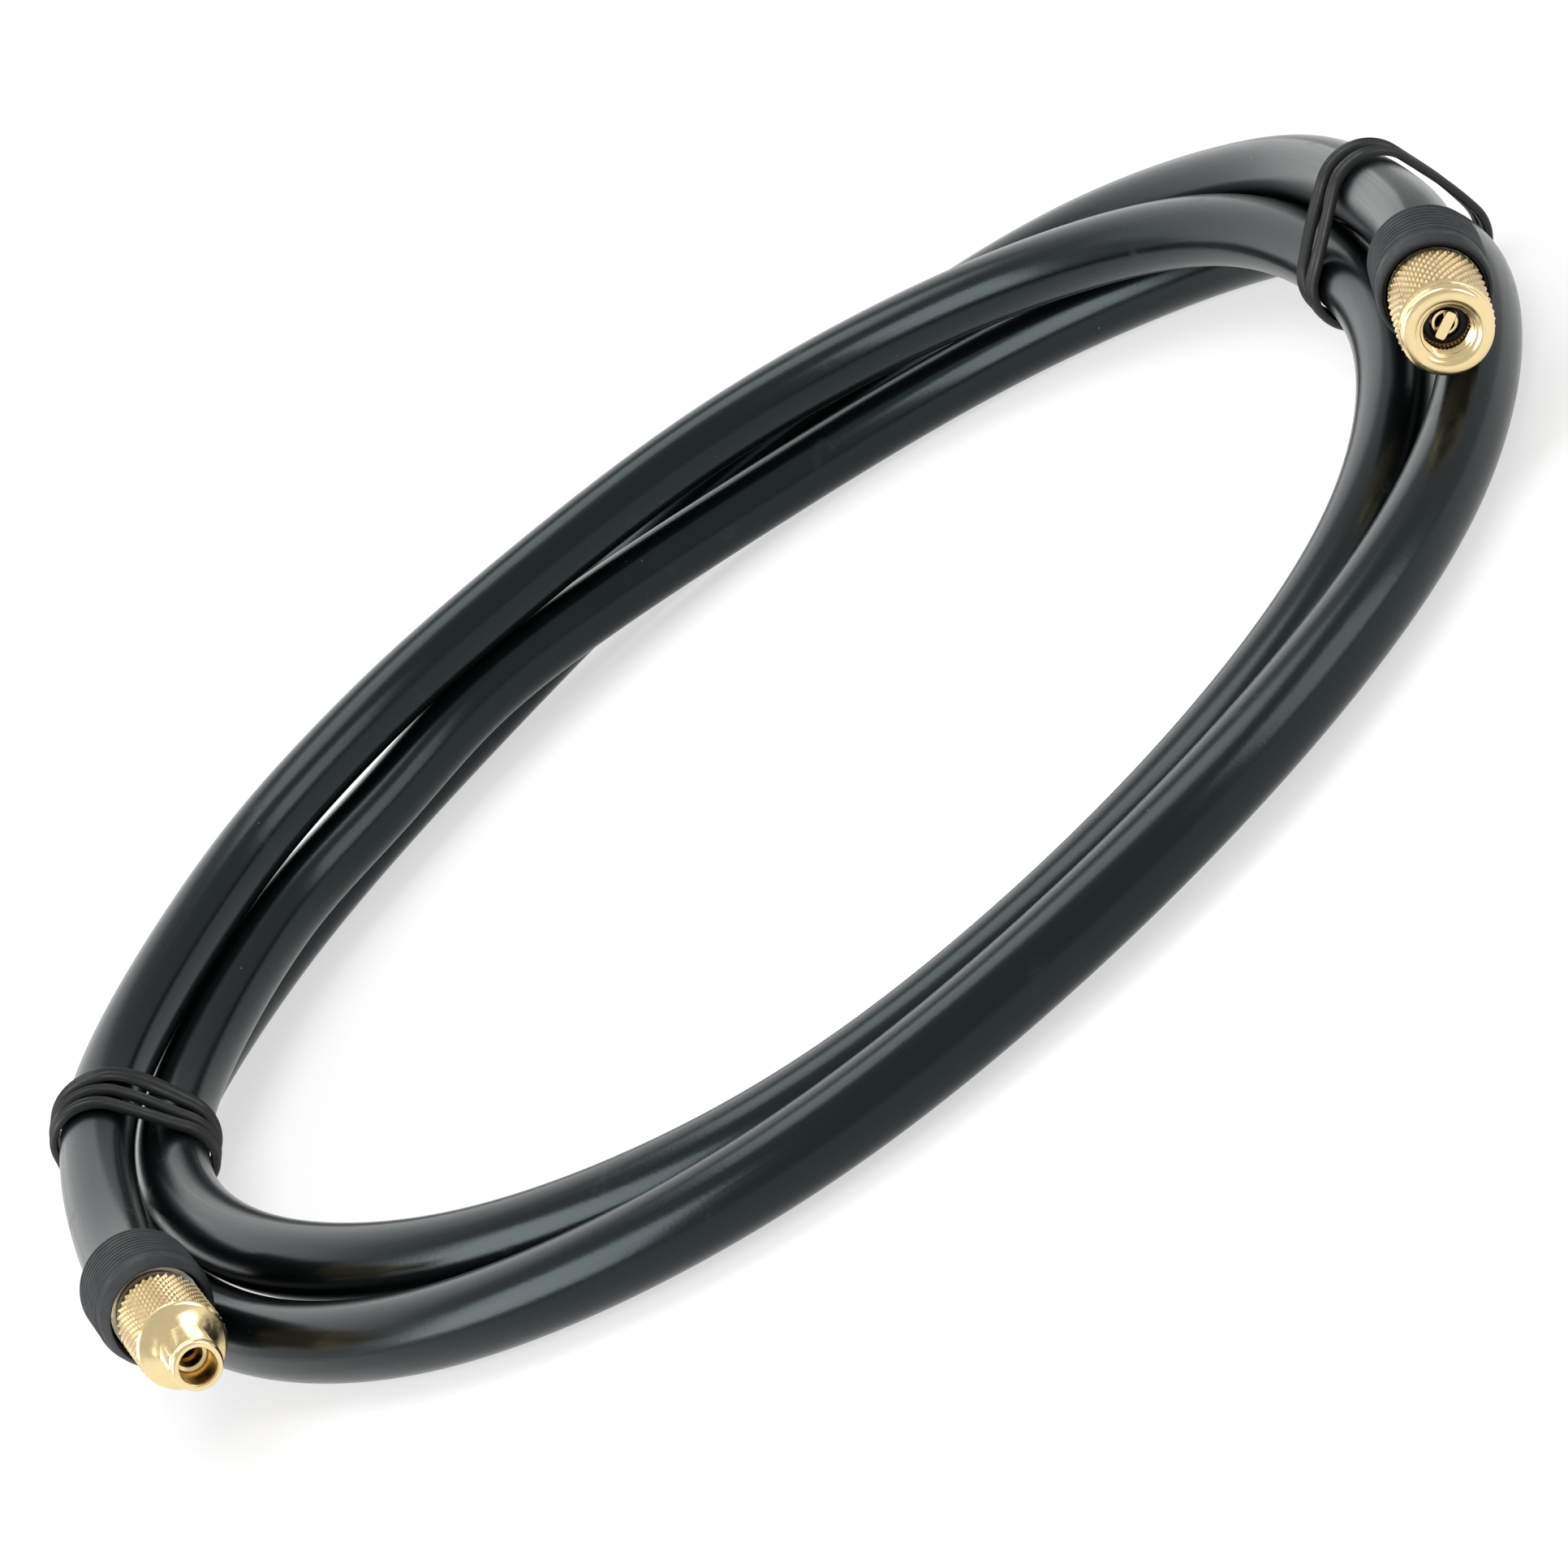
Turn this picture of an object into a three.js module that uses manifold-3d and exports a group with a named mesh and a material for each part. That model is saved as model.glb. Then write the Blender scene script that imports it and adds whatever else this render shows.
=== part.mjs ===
// Air extension hose, coiled and tied: a glossy rubber hose with a male valve
// fitting on one end and a female swivel valve connector on the other.
// Units are millimetres, +Z is up and the coil lies on z = 0.

import * as THREE from 'three';
import { mergeVertices } from 'three/addons/utils/BufferGeometryUtils.js';
import Module from 'manifold-3d';

const wasm = await Module();
wasm.setup();

// ---------------------------------------------------------------- driving dimensions

const GAP = 0.3;                       // clearance between touching pieces
const LATHE_SIDES = 24;

const HOSE_R = 6;
const BORE_R = 3;
const HOSE_STEPS = 104;
const HOSE_SIDES = 12;

// The coil's route, from the male end to the female end. Each station is
// [angle in degrees, radius, height of the centreline] around COIL_CENTRE.
// The coil runs clockwise, so the angle falls by a whole turn each time round.
const COIL_CENTRE = [2.5, -0.6];
const ROUTE = [
  [180, 127.8, 24.6], [150, 122, 25.3], [135, 119.3, 25.2], [120, 116.7, 24.5],
  [90, 116.1, 22.5], [60, 115.8, 19.2], [30, 116, 16.3], [0, 115.5, 9.8],
  [-30, 115.3, 6.3], [-60, 115.4, 6.1], [-90, 116.2, 6.1], [-120, 113.4, 7.6],
  [-150, 116.5, 11.9], [-180, 122.5, 13.2], [-210, 121.5, 13.1], [-225, 118.9, 12],
  [-240, 118.2, 12.7], [-270, 116.8, 7.4], [-300, 119.5, 6.1], [-330, 127, 6.2],
  [-360, 129.9, 7.6], [-390, 129, 6.8], [-420, 128.8, 8.1], [-450, 129.3, 7.1],
  [-480, 127.3, 6.1], [-510, 127.7, 7.1], [-540, 133.4, 7.8], [-570, 131.5, 6.2],
  [-600, 128.8, 6.5], [-630, 130.6, 11], [-660, 131.2, 15.4], [-690, 128.4, 18.2],
];

// The fittings point level. Each stands where the hose enters its collar.
const MALE_END = { at: [-111.84, -67.67, 21.1], heading: -67.6 };
const FEMALE_END = { at: [129.46, -24.85, 22.3], heading: -93.5 };
const HOSE_INSIDE = 13.5;              // hose hidden in each fitting
const HOSE_STRAIGHT = 13;              // straight hose behind each fitting

// Both fittings use the tyre valve thread: 7.75 mm across the crests.
const THREAD_R = 3.875;
const THREAD_ROOT_R = 3.45;
const THREAD_PITCH = 0.79;

// Grooved rubber collars over the crimped joints. The smooth nose starts at
// nose and narrows to front at the mouth.
const MALE_COLLAR = { outer: 8.9, nose: 12.4, front: 7.9, mouth: 7.4, length: 17.5 };
const FEMALE_COLLAR = { outer: 8.55, nose: 10.2, front: 8.35, mouth: 7.6, length: 15.3 };
const COLLAR_LIP = 2.4;                // rear lip that grips the hose
const GROOVES = 6;
const GROOVE_START = 1.6;
const GROOVE_PITCH = 1.4;
const GROOVE_HALF_WIDTH = 0.35;
const GROOVE_DEPTH = 0.35;

// Crimped ferrule under each collar.
const FERRULE_START = 2.8;
const FERRULE_END = 14.4;
const FERRULE_R = 6.9;
const CRIMP_STARTS = [5, 9];
const CRIMP_WIDTH = 2.2;
const CRIMP_SLOPE = 0.6;
const CRIMP_DEPTH = 0.25;

// Barbed tail that both brass stems push into the hose.
const TAIL_START = 1;
const BARB_R = 2.6;
const BARB_ROOT_R = 2.3;
const BARB_PITCH = 3.2;
const BARBS = 3;
const AIRWAY_R = 1.5;

// Male fitting.
const MALE_WAIST_START = 14.9;
const MALE_WAIST_R = 6.1;
const MALE_KNURL_START = 18.4;
const MALE_KNURL_END = 32.3;
const MALE_KNURL_R = 6.85;
const MALE_SHOULDER_END = 34.2;
const MALE_NECK_R = 3.35;
const MALE_THREAD_START = 34.9;
const MALE_THREADS = 8;
const MALE_TIP_R = 3.8;
const MALE_LENGTH = 43.2;
const MALE_BORE_R = 2.7;
const MALE_BORE_DEPTH = 6;
const MALE_CORE_SEAT_R = 1.9;
const MALE_CORE_SEAT_DEPTH = 3;

// Female fitting: the nut turns on the stem, whose head holds the washer.
const NUT_R = 7.1;
const NUT_START = 14.9;
const NUT_KNURL_END = 28.2;
const NUT_RING_R = 6.65;
const NUT_MOUTH = 31;
const NUT_BACK_BORE_R = 2.95;
const STEM_HEAD_START = 22.8;
const STEM_HEAD_END = 24.3;
const STEM_HEAD_R = 3.15;
const NUT_THREADS = 5;
const WASHER_START = 24.6;
const WASHER_END = 27;
const WASHER_R = 3.15;
const WASHER_HOLE_R = 2.2;
const DEPRESSOR_R = 1.9;
const DEPRESSOR_HOLE_R = 1.4;
const BLADE = { long: 4.4, wide: 1.7, thick: 0.8, angle: 31 };

// Ties: each is three flat turns of twisted-pair tie round the bundle.
const TIE_WIDTH = 2.4;
const TIE_THICKNESS = 0.9;
const TIE_SLACK = 0.4;                 // between tie and hose
const TIE_CORNER_SIDES = 12;
const ROUTE_SAMPLES = 2000;            // along the hose, when looking for its strands
const LEFT_TIE = { angle: 181, turns: [[-3.2, 6], [-0.2, -4], [2.8, 5]] };
const RIGHT_TIE = { angle: 9, turns: [[-2.4, -9], [0.4, 4], [2.6, -3]] };

// ---------------------------------------------------------------- looks

function material(color, roughness, metalness) {
  return new THREE.MeshStandardMaterial({ color, roughness, metalness });
}

const hoseRubber = material(0x16191c, 0.2, 0);
const collarRubber = material(0x2b2e30, 0.75, 0);
const sealRubber = material(0x1b1c1d, 0.6, 0);
const brass = material(0xd8b878, 0.3, 1);
const ferruleMetal = material(0xb9bcc0, 0.4, 1);
const tieRubber = material(0x1d2022, 0.55, 0);

// ---------------------------------------------------------------- helpers

function mesh(name, geometry, look) {
  const piece = new THREE.Mesh(geometry, look);
  piece.name = name;
  return piece;
}

// A boolean-ready solid from a closed geometry.
function solidOf(geometry) {
  const bare = geometry.clone();
  bare.deleteAttribute('normal');
  bare.deleteAttribute('uv');
  const merged = mergeVertices(bare, 1e-4);
  return new wasm.Manifold(new wasm.Mesh({
    numProp: 3,
    vertProperties: merged.attributes.position.array,
    triVerts: Uint32Array.from(merged.index.array),
  }));
}

function geometryOf(solid) {
  const { vertProperties, triVerts } = solid.getMesh();
  const geometry = new THREE.BufferGeometry();
  geometry.setAttribute('position', new THREE.BufferAttribute(vertProperties, 3));
  geometry.setIndex(new THREE.BufferAttribute(triVerts, 1));
  geometry.computeVertexNormals();
  return geometry;
}

function union(geometries) {
  return geometryOf(geometries.map(solidOf).reduce((whole, next) => whole.add(next)));
}

function cut(geometry, tool) {
  return geometryOf(solidOf(geometry).subtract(solidOf(tool)));
}

// Revolves [radius, z] points about Z. The outer wall runs upwards. A profile that
// doesn't start on the axis is closed on itself.
function revolve(profile, sides = LATHE_SIDES) {
  const points = profile.map(([radius, z]) => new THREE.Vector2(radius, z));
  if (profile[0][0] > 0) points.push(points[0].clone());
  const geometry = new THREE.LatheGeometry(points, sides);
  geometry.rotateX(Math.PI / 2);
  return geometry;
}

function circlePoints(radius, sides, centre = [0, 0]) {
  return Array.from({ length: sides }, (_, i) => {
    const angle = (2 * Math.PI * i) / sides;
    return new THREE.Vector2(centre[0] + radius * Math.cos(angle), centre[1] + radius * Math.sin(angle));
  });
}

// A V thread as [radius, z] points, rising from start.
function threadPoints(start, turns, rootR, crestR) {
  const points = [];
  for (let i = 0; i < turns; i += 1) {
    points.push([rootR, start + i * THREAD_PITCH]);
    points.push([crestR, start + (i + 0.5) * THREAD_PITCH]);
  }
  points.push([rootR, start + turns * THREAD_PITCH]);
  return points;
}

// ---------------------------------------------------------------- hose

function heading(end) {
  const angle = THREE.MathUtils.degToRad(end.heading);
  return new THREE.Vector3(Math.cos(angle), Math.sin(angle), 0);
}

function alongFitting(end, distance) {
  return new THREE.Vector3(...end.at).addScaledVector(heading(end), distance);
}

function station([degrees, radius, height]) {
  const angle = THREE.MathUtils.degToRad(degrees);
  const x = COIL_CENTRE[0] + radius * Math.cos(angle);
  const y = COIL_CENTRE[1] + radius * Math.sin(angle);
  return new THREE.Vector3(x, y, height);
}

function hoseCurve() {
  return new THREE.CatmullRomCurve3([
    alongFitting(MALE_END, HOSE_INSIDE),
    alongFitting(MALE_END, 0),
    alongFitting(MALE_END, -HOSE_STRAIGHT),
    ...ROUTE.map(station),
    alongFitting(FEMALE_END, -HOSE_STRAIGHT),
    alongFitting(FEMALE_END, 0),
    alongFitting(FEMALE_END, HOSE_INSIDE),
  ]);
}

// The hose's route swept with a round section, which may have a round bore.
function hoseTube(radius, boreR) {
  const section = new THREE.Shape(circlePoints(radius, HOSE_SIDES));
  if (boreR > 0) {
    const cornerR = boreR / Math.cos(Math.PI / HOSE_SIDES);
    section.holes.push(new THREE.Path(circlePoints(cornerR, HOSE_SIDES)));
  }
  return new THREE.ExtrudeGeometry(section, { steps: HOSE_STEPS, extrudePath: hoseCurve() });
}

// ---------------------------------------------------------------- pieces that both fittings share

// Rubber sleeve with a gripping rear lip, a grooved barrel and a smooth tapered nose.
function collar({ outer, nose, front, mouth, length }) {
  const barrel = [];
  for (let i = 0; i < GROOVES; i += 1) {
    const z = GROOVE_START + i * GROOVE_PITCH;
    barrel.push([outer, z - GROOVE_HALF_WIDTH]);
    barrel.push([outer - GROOVE_DEPTH, z]);
    barrel.push([outer, z + GROOVE_HALF_WIDTH]);
  }
  const inner = FERRULE_R + GAP;
  return revolve([
    [HOSE_R + GAP, 0],
    [outer - 0.5, 0],
    [outer, 0.5],
    ...barrel,
    [outer, nose],
    [outer - 0.15, nose + 0.4],
    [front, length - 0.5],
    [front - 0.3, length],
    [mouth, length - 0.2],
    [mouth, FERRULE_END + GAP],
    [inner, FERRULE_END + GAP],
    [inner, COLLAR_LIP],
    [HOSE_R + GAP, COLLAR_LIP],
  ]);
}

// Metal sleeve pressed on to the hose, with two crimp grooves and a turned-in front.
function ferrule() {
  const inner = HOSE_R + GAP;
  const crimps = CRIMP_STARTS.flatMap((start) => [
    [FERRULE_R, start],
    [FERRULE_R - CRIMP_DEPTH, start + CRIMP_SLOPE],
    [FERRULE_R - CRIMP_DEPTH, start + CRIMP_WIDTH - CRIMP_SLOPE],
    [FERRULE_R, start + CRIMP_WIDTH],
  ]);
  return revolve([
    [inner, FERRULE_START],
    [FERRULE_R, FERRULE_START],
    ...crimps,
    [FERRULE_R, FERRULE_END],
    [BARB_R + GAP, FERRULE_END],
    [BARB_R + GAP, HOSE_INSIDE + GAP],
    [inner, HOSE_INSIDE + GAP],
  ]);
}

// The barbed tail's outside, from its tip towards the fitting.
function tailPoints() {
  const points = [[BARB_ROOT_R - 0.3, TAIL_START]];
  for (let i = 0; i < BARBS; i += 1) {
    const z = TAIL_START + i * BARB_PITCH;
    points.push([BARB_R, z + 0.8 * BARB_PITCH]);
    points.push([BARB_ROOT_R, z + 0.85 * BARB_PITCH]);
  }
  points.push([BARB_ROOT_R, TAIL_START + (BARBS + 0.4) * BARB_PITCH]);
  points.push([BARB_R, TAIL_START + (BARBS + 0.5) * BARB_PITCH]);
  return points;
}

// ---------------------------------------------------------------- male fitting

function maleFitting() {
  const threadEnd = MALE_THREAD_START + MALE_THREADS * THREAD_PITCH;
  const boreFloor = MALE_LENGTH - MALE_BORE_DEPTH;
  return revolve([
    ...tailPoints(),
    [BARB_R, MALE_WAIST_START],
    [MALE_WAIST_R, MALE_WAIST_START],
    [MALE_WAIST_R, MALE_KNURL_START - 0.3],
    [MALE_KNURL_R, MALE_KNURL_START],
    [MALE_KNURL_R, MALE_KNURL_END],
    [MALE_KNURL_R - 0.5, MALE_KNURL_END + 0.4],
    [MALE_NECK_R + 0.7, MALE_SHOULDER_END],
    [MALE_NECK_R, MALE_SHOULDER_END + 0.3],
    ...threadPoints(MALE_THREAD_START, MALE_THREADS, THREAD_ROOT_R, THREAD_R),
    [THREAD_ROOT_R, threadEnd + 0.2],
    [MALE_TIP_R, threadEnd + 0.5],
    [MALE_TIP_R, MALE_LENGTH - 0.5],
    [MALE_TIP_R - 0.4, MALE_LENGTH],
    [MALE_BORE_R, MALE_LENGTH],
    [MALE_BORE_R, boreFloor],
    [MALE_CORE_SEAT_R, boreFloor - 0.4],
    [MALE_CORE_SEAT_R, boreFloor - MALE_CORE_SEAT_DEPTH],
    [AIRWAY_R, boreFloor - MALE_CORE_SEAT_DEPTH - 0.4],
    [AIRWAY_R, TAIL_START],
  ]);
}

// ---------------------------------------------------------------- female fitting

function femaleStem() {
  return revolve([
    ...tailPoints(),
    [BARB_R, STEM_HEAD_START],
    [STEM_HEAD_R, STEM_HEAD_START],
    [STEM_HEAD_R, STEM_HEAD_END],
    [AIRWAY_R, STEM_HEAD_END],
    [AIRWAY_R, TAIL_START],
  ]);
}

function femaleNut() {
  const threadStart = NUT_MOUTH - 0.6 - NUT_THREADS * THREAD_PITCH;
  const thread = threadPoints(threadStart, NUT_THREADS, THREAD_R, THREAD_ROOT_R);
  return revolve([
    [NUT_BACK_BORE_R, NUT_START],
    [NUT_R - 0.4, NUT_START],
    [NUT_R, NUT_START + 0.4],
    [NUT_R, NUT_KNURL_END - 0.3],
    [NUT_RING_R + 0.1, NUT_KNURL_END],
    [NUT_RING_R, NUT_KNURL_END + 0.3],
    [NUT_RING_R, NUT_MOUTH - 0.5],
    [NUT_RING_R - 0.4, NUT_MOUTH],
    [THREAD_R + 0.6, NUT_MOUTH],
    ...thread.reverse(),
    [THREAD_ROOT_R, threadStart - 0.3],
    [THREAD_ROOT_R, STEM_HEAD_START - GAP],
    [NUT_BACK_BORE_R, STEM_HEAD_START - GAP],
  ]);
}

function sealWasher() {
  return revolve([
    [WASHER_HOLE_R, WASHER_START],
    [WASHER_R, WASHER_START],
    [WASHER_R, WASHER_END],
    [WASHER_HOLE_R, WASHER_END],
  ]);
}

// A short ring in the washer's hole carries a blade that pushes the valve's pin.
function valveDepressor() {
  const ringStart = WASHER_START + 0.6;
  const ring = revolve([
    [DEPRESSOR_HOLE_R, ringStart],
    [DEPRESSOR_R, ringStart],
    [DEPRESSOR_R, WASHER_END - 0.2],
    [DEPRESSOR_HOLE_R, WASHER_END - 0.2],
  ]);
  const bladeBase = WASHER_END - 0.5;
  const height = BLADE.thick + 0.4;
  const blade = new THREE.BoxGeometry(2 * DEPRESSOR_R - 0.2, BLADE.wide, height);
  blade.translate(0, 0, bladeBase + height / 2);
  const cap = new THREE.BoxGeometry(BLADE.long, BLADE.wide, BLADE.thick);
  cap.translate(0, 0, WASHER_END + GAP + BLADE.thick / 2);
  const whole = union([ring, blade, cap]);
  return whole.rotateZ(THREE.MathUtils.degToRad(BLADE.angle));
}

// ---------------------------------------------------------------- ties

// Where the hose passes the angle on each turn of the coil, as [radius, height].
function strandsAt(degrees) {
  const strands = [];
  const curve = hoseCurve();
  const samples = curve.getSpacedPoints(ROUTE_SAMPLES);
  const wanted = THREE.MathUtils.degToRad(degrees);
  const offAngle = (point) => {
    const turn = Math.atan2(point.y - COIL_CENTRE[1], point.x - COIL_CENTRE[0]) - wanted;
    return Math.atan2(Math.sin(turn), Math.cos(turn));
  };
  for (let i = 1; i < samples.length; i += 1) {
    const before = offAngle(samples[i - 1]);
    const after = offAngle(samples[i]);
    if (before * after <= 0 && Math.abs(before) < 1) {
      const { x, y, z } = samples[i];
      strands.push([Math.hypot(x - COIL_CENTRE[0], y - COIL_CENTRE[1]), z]);
    }
  }
  return strands;
}

// The convex outline round a list of points, anticlockwise.
function hull(points) {
  const sorted = [...points].sort((a, b) => a.x - b.x || a.y - b.y);
  const half = (list) => {
    const chain = [];
    for (const point of list) {
      while (chain.length > 1) {
        const [a, b] = chain.slice(-2);
        if ((b.x - a.x) * (point.y - a.y) > (b.y - a.y) * (point.x - a.x)) break;
        chain.pop();
      }
      chain.push(point);
    }
    return chain.slice(0, -1);
  };
  return [...half(sorted), ...half(sorted.reverse())];
}

// One flat turn round the bundle: shift moves it along the hose, yaw swings it.
function tieTurn(strands, centreR, [shift, yaw]) {
  const outline = (clearance) => hull(strands.flatMap(([radius, height]) => (
    circlePoints(HOSE_R + clearance, TIE_CORNER_SIDES, [radius - centreR, height]))));
  const band = new THREE.Shape(outline(TIE_SLACK + TIE_THICKNESS));
  band.holes.push(new THREE.Path(outline(TIE_SLACK)));
  const geometry = new THREE.ExtrudeGeometry(band, { depth: TIE_WIDTH, bevelEnabled: false });
  geometry.translate(0, 0, shift - TIE_WIDTH / 2);
  geometry.rotateY(THREE.MathUtils.degToRad(yaw));
  return geometry;
}

function tie({ angle, turns }) {
  const strands = strandsAt(angle);
  const centreR = strands.reduce((sum, [radius]) => sum + radius, 0) / strands.length;
  const band = union(turns.map((turn) => tieTurn(strands, centreR, turn)));
  band.rotateX(Math.PI / 2);
  band.translate(centreR, 0, 0);
  band.rotateZ(THREE.MathUtils.degToRad(angle));
  band.translate(COIL_CENTRE[0], COIL_CENTRE[1], 0);
  return cut(band, hoseTube(HOSE_R + GAP, 0));
}

// ---------------------------------------------------------------- assembly

// A group whose local +Z is the fitting's axis and whose local +Y is up.
function fittingGroup(end, pieces) {
  const forward = heading(end);
  const up = new THREE.Vector3(0, 0, 1);
  const side = up.clone().cross(forward);
  const group = new THREE.Group();
  group.setRotationFromMatrix(new THREE.Matrix4().makeBasis(side, up, forward));
  group.position.set(...end.at);
  group.add(...pieces);
  return group;
}

const airHose = new THREE.Group();
airHose.add(mesh('hose', hoseTube(HOSE_R, BORE_R), hoseRubber));
airHose.add(fittingGroup(MALE_END, [
  mesh('male_collar', collar(MALE_COLLAR), collarRubber),
  mesh('male_ferrule', ferrule(), ferruleMetal),
  mesh('male_fitting', maleFitting(), brass),
]));
airHose.add(fittingGroup(FEMALE_END, [
  mesh('female_collar', collar(FEMALE_COLLAR), collarRubber),
  mesh('female_ferrule', ferrule(), ferruleMetal),
  mesh('female_stem', femaleStem(), brass),
  mesh('female_nut', femaleNut(), brass),
  mesh('seal_washer', sealWasher(), sealRubber),
  mesh('valve_depressor', valveDepressor(), brass),
]));
airHose.add(mesh('left_tie', tie(LEFT_TIE), tieRubber));
airHose.add(mesh('right_tie', tie(RIGHT_TIE), tieRubber));

export default airHose;
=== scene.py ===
# The looks of a coiled air extension hose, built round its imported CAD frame.
# Sizes are in millimetres in the CAD model's frame, and MM turns them into metres.

import math

import bpy
import numpy as np
from mathutils import Matrix, Vector


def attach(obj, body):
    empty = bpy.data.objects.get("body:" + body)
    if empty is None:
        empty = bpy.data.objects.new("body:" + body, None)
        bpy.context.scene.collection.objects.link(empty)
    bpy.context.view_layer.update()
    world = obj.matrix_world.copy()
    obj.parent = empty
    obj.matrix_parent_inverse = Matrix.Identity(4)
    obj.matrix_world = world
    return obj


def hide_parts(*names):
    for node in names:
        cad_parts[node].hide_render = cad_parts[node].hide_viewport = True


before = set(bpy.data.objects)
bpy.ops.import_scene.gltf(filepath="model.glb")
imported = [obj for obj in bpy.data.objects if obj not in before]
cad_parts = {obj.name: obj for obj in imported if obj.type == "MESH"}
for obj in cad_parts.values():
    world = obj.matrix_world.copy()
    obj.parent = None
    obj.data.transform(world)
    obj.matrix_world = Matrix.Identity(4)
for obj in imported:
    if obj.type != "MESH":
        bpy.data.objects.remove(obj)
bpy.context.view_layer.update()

MM = 0.001
TURN = 2 * math.pi

# ---------------------------------------------------------------- camera

CAMERA_TARGET = (-3.7, 7.73, 0.0)
CAMERA_AZIMUTH = -76.2          # of the camera, seen from its target
CAMERA_ELEVATION = 19.98
CAMERA_ROLL = -39.56
CAMERA_DISTANCE = 736.1
CAMERA_LENS = 104.55
SENSOR_WIDTH = 36.0


def place_camera():
    azimuth, elevation, roll = (
        math.radians(a) for a in (CAMERA_AZIMUTH, CAMERA_ELEVATION, CAMERA_ROLL)
    )
    back = Vector((
        math.cos(azimuth) * math.cos(elevation),
        math.sin(azimuth) * math.cos(elevation),
        math.sin(elevation),
    ))
    level = Vector((-math.sin(azimuth), math.cos(azimuth), 0.0))
    up = back.cross(level)
    right = math.cos(roll) * level + math.sin(roll) * up
    top = math.cos(roll) * up - math.sin(roll) * level
    data = bpy.data.cameras.new("camera")
    data.lens = CAMERA_LENS
    data.sensor_width = SENSOR_WIDTH
    data.sensor_fit = "HORIZONTAL"
    data.clip_start, data.clip_end = 0.01, 100.0
    camera = bpy.data.objects.new("camera", data)
    bpy.context.scene.collection.objects.link(camera)
    aim = Matrix((right, top, back)).transposed().to_4x4()
    place = MM * (Vector(CAMERA_TARGET) + CAMERA_DISTANCE * back)
    camera.matrix_world = Matrix.Translation(place) @ aim
    bpy.context.scene.camera = camera


place_camera()

# ---------------------------------------------------------------- mesh helpers


def face_grid(rows, columns, wrap_rows, wrap_columns):
    """Quads over a grid of rows by columns of points, as index lists."""
    last_row = rows if wrap_rows else rows - 1
    last_column = columns if wrap_columns else columns - 1
    i, j = np.meshgrid(np.arange(last_row), np.arange(last_column), indexing="ij")
    i, j = i.ravel(), j.ravel()
    i2, j2 = (i + 1) % rows, (j + 1) % columns
    return np.stack([i * columns + j, i * columns + j2, i2 * columns + j2, i2 * columns + j], 1)


def build(name, points, faces, body, material, sharp, uv=None, groove_shading=None):
    """An object from points in mm, smooth except at edges sharper than the angle given.
    Per point, 0 to 1 says how deep a hollow is there, and a material can read it to paint shade into the
    hollows."""
    data = bpy.data.meshes.new(name)
    data.from_pydata((np.asarray(points) * MM).tolist(), [], [list(map(int, f)) for f in faces])
    data.update()
    data.shade_smooth()
    data.set_sharp_from_angle(angle=math.radians(sharp))
    if uv is not None:
        layer = data.uv_layers.new(name="UVMap")
        layer.data.foreach_set("uv", np.asarray(uv, np.float32).ravel())
    if groove_shading is not None:
        layer = data.attributes.new("groove_shade", "FLOAT", "POINT")
        layer.data.foreach_set("value", np.asarray(groove_shading, np.float32).ravel())
    data.materials.append(material)
    piece = bpy.data.objects.new(name, data)
    bpy.context.scene.collection.objects.link(piece)
    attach(piece, body)
    return piece


def with_caps(faces, rows, columns):
    """Closes a tube's two ends with one face each."""
    first = list(range(columns))
    last = [(rows - 1) * columns + j for j in range(columns)]
    return [list(f) for f in faces] + [first[::-1], last]


def rounded(profile, radius, steps):
    """A closed [radius, z] profile with its corners rounded."""
    points = [np.array(p, float) for p in profile]
    out = []
    for i, here in enumerate(points):
        before, after = points[i - 1], points[(i + 1) % len(points)]
        a, b = before - here, after - here
        la, lb = np.linalg.norm(a), np.linalg.norm(b)
        reach = min(radius, 0.45 * la, 0.45 * lb)
        start, end = here + a / la * reach, here + b / lb * reach
        for t in np.linspace(0, 1, steps + 1):
            out.append((1 - t) ** 2 * start + 2 * t * (1 - t) * here + t ** 2 * end)
    return out


def dense(start, end, step):
    """Heights from start to end, evenly spaced at about the step."""
    count = max(2, int(round(abs(end - start) / step)) + 1)
    return np.linspace(start, end, count)


# ---------------------------------------------------------------- fittings' frames

COIL_CENTRE = np.array([2.5, -0.6])
MALE_END = {"at": np.array([-111.84, -67.67, 21.1]), "heading": -67.6}
FEMALE_END = {"at": np.array([129.46, -24.85, 22.3]), "heading": -93.5}
HOSE_INSIDE = 13.5
HOSE_STRAIGHT = 13.0


def heading(end):
    angle = math.radians(end["heading"])
    return np.array([math.cos(angle), math.sin(angle), 0.0])


def along(end, distance):
    return end["at"] + distance * heading(end)


def in_model(end, local):
    """Points in a fitting's own frame, its axis along +Z and +Y up, moved to the model's."""
    forward = heading(end)
    up = np.array([0.0, 0.0, 1.0])
    side = np.cross(up, forward)
    local = np.asarray(local, float)
    return end["at"] + local @ np.stack([side, up, forward])


def turned(end, name, profile, body, material, sides, sharp, shape=None):
    """Revolves a closed [radius, z] profile about the fitting's axis. shape(radius, z, angle)
    may change the radius over the surface, and says how deep its hollows are from 0 to 1, for painted
    shade."""
    profile = np.asarray(profile, float)
    angle = np.arange(sides) * TURN / sides
    radius = np.repeat(profile[:, :1], sides, 1)
    height = np.repeat(profile[:, 1:], sides, 1)
    groove_shading = None
    if shape is not None:
        radius, groove_shading = shape(radius, height, angle[None, :])
    local = np.stack([radius * np.cos(angle), radius * np.sin(angle), height], -1)
    points = in_model(end, local.reshape(-1, 3))
    faces = face_grid(len(profile), sides, True, True)
    return build(name, points, faces, body, material, sharp, None, groove_shading)


# ---------------------------------------------------------------- shader helpers


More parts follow.
